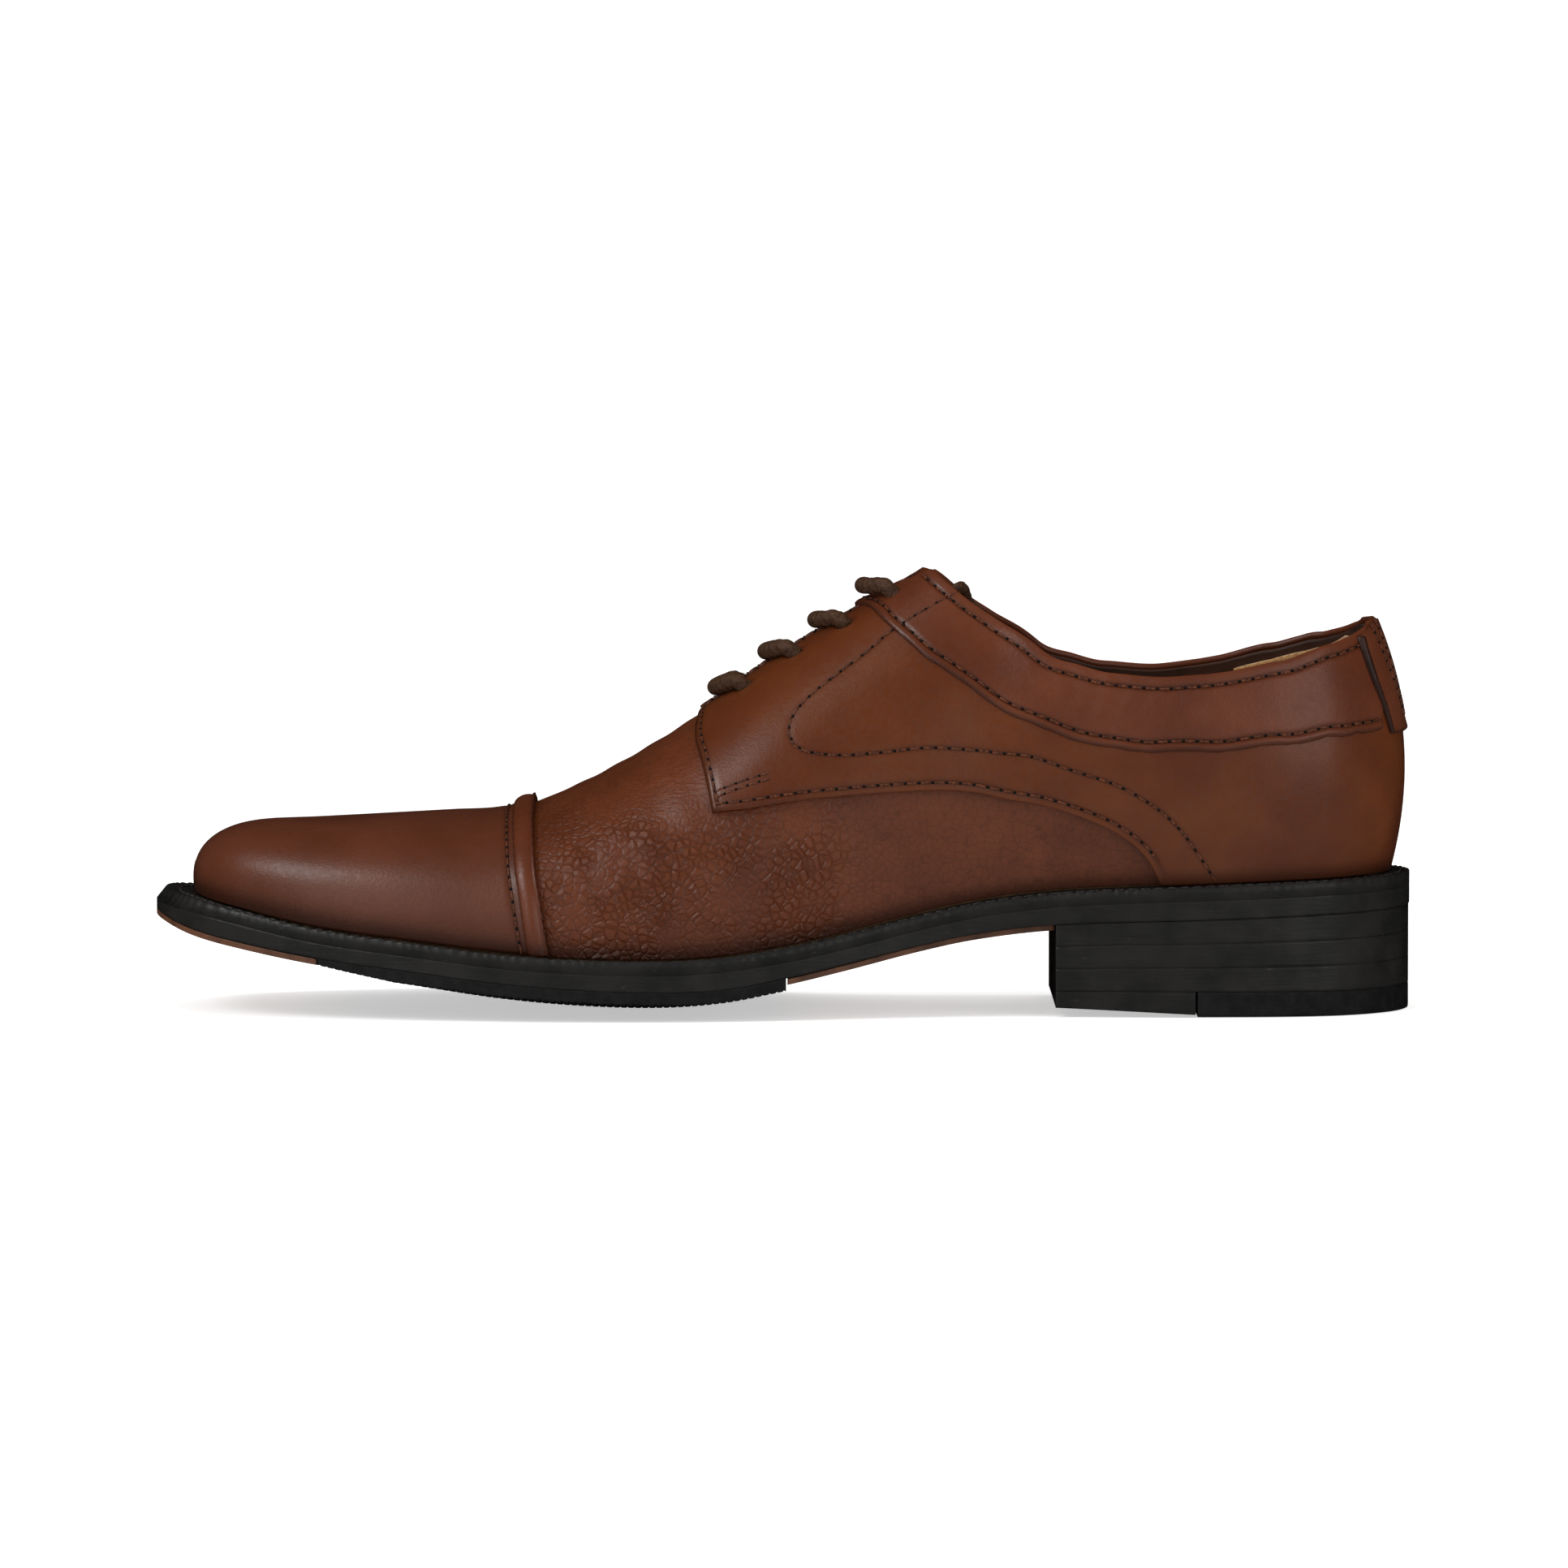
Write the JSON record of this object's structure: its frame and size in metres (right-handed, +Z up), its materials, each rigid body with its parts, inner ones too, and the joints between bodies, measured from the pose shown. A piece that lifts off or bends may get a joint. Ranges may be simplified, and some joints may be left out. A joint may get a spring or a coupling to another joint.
{
  "type": "leather derby shoe",
  "caption": "Brown leather lace-up shoe with a straight toe cap, open lacing, a padded collar, a black welted sole and a stacked heel. Left foot.",
  "frame": {"origin": "middle of the shoe's box, on the floor", "axes": "+Z up, -X towards the toe, +X towards the heel, -Y towards the outer side of the foot"},
  "size_m": [0.3027, 0.1038, 0.1074],
  "materials": {
    "upper_leather": "polished calf",
    "sole_edge": "dyed and waxed edge",
    "rubber_tread": "matt",
    "sole_leather": "natural, brushed",
    "cork": "natural",
    "steel": "plain",
    "insole_leather": "natural",
    "lining_leather": "matt",
    "stiffener": "matt",
    "suede": "brushed suede",
    "eyelet_brass": "aged",
    "lace_cotton": "waxed braid",
    "aglet_plastic": "gloss"
  },
  "bodies": {
    "shoe": {"welt": "sole_edge", "outsole": "sole_edge", "toe_tip_leather": "sole_leather", "forefoot_tread": "rubber_tread", "waist_leather": "sole_leather", "cork_filler": "cork", "shank": "steel", "insole_board": "insole_leather", "sock_liner": "lining_leather", "heel_lift_1": "sole_edge", "heel_lift_2": "sole_edge", "heel_lift_3": "sole_edge", "top_piece_front": "sole_leather", "top_piece_rear": "rubber_tread", "toe_cap": "upper_leather", "toe_puff": "stiffener", "cap_band": "upper_leather", "vamp": "upper_leather", "vamp_lining": "lining_leather", "quarter_lateral": "upper_leather", "facing_stay_lateral": "stiffener", "collar_lateral": "upper_leather", "quarter_lining_lateral": "lining_leather", "quarter_medial": "upper_leather", "facing_stay_medial": "stiffener", "collar_medial": "upper_leather", "quarter_lining_medial": "lining_leather", "heel_tab": "upper_leather", "heel_counter": "stiffener", "heel_grip": "suede", "eyelet_lateral_1": "eyelet_brass", "eyelet_lateral_2": "eyelet_brass", "eyelet_lateral_3": "eyelet_brass", "eyelet_lateral_4": "eyelet_brass", "eyelet_medial_1": "eyelet_brass", "eyelet_medial_2": "eyelet_brass", "eyelet_medial_3": "eyelet_brass", "eyelet_medial_4": "eyelet_brass", "lace": "lace_cotton", "lace_end_1": "lace_cotton", "aglet_1": "aglet_plastic", "lace_end_2": "lace_cotton", "aglet_2": "aglet_plastic"},
    "tongue": {"tongue": "upper_leather", "tongue_lining": "lining_leather"}
  },
  "joints": [
    {"name": "tongue_flex", "type": "hinge", "parent": "shoe", "child": "tongue", "pos_m": [-0.0167, 0, 0.0675], "axis": [0, 1, 0], "range_deg": [0, 6], "stiffness_Nm_per_rad": 0.6}
  ]
}
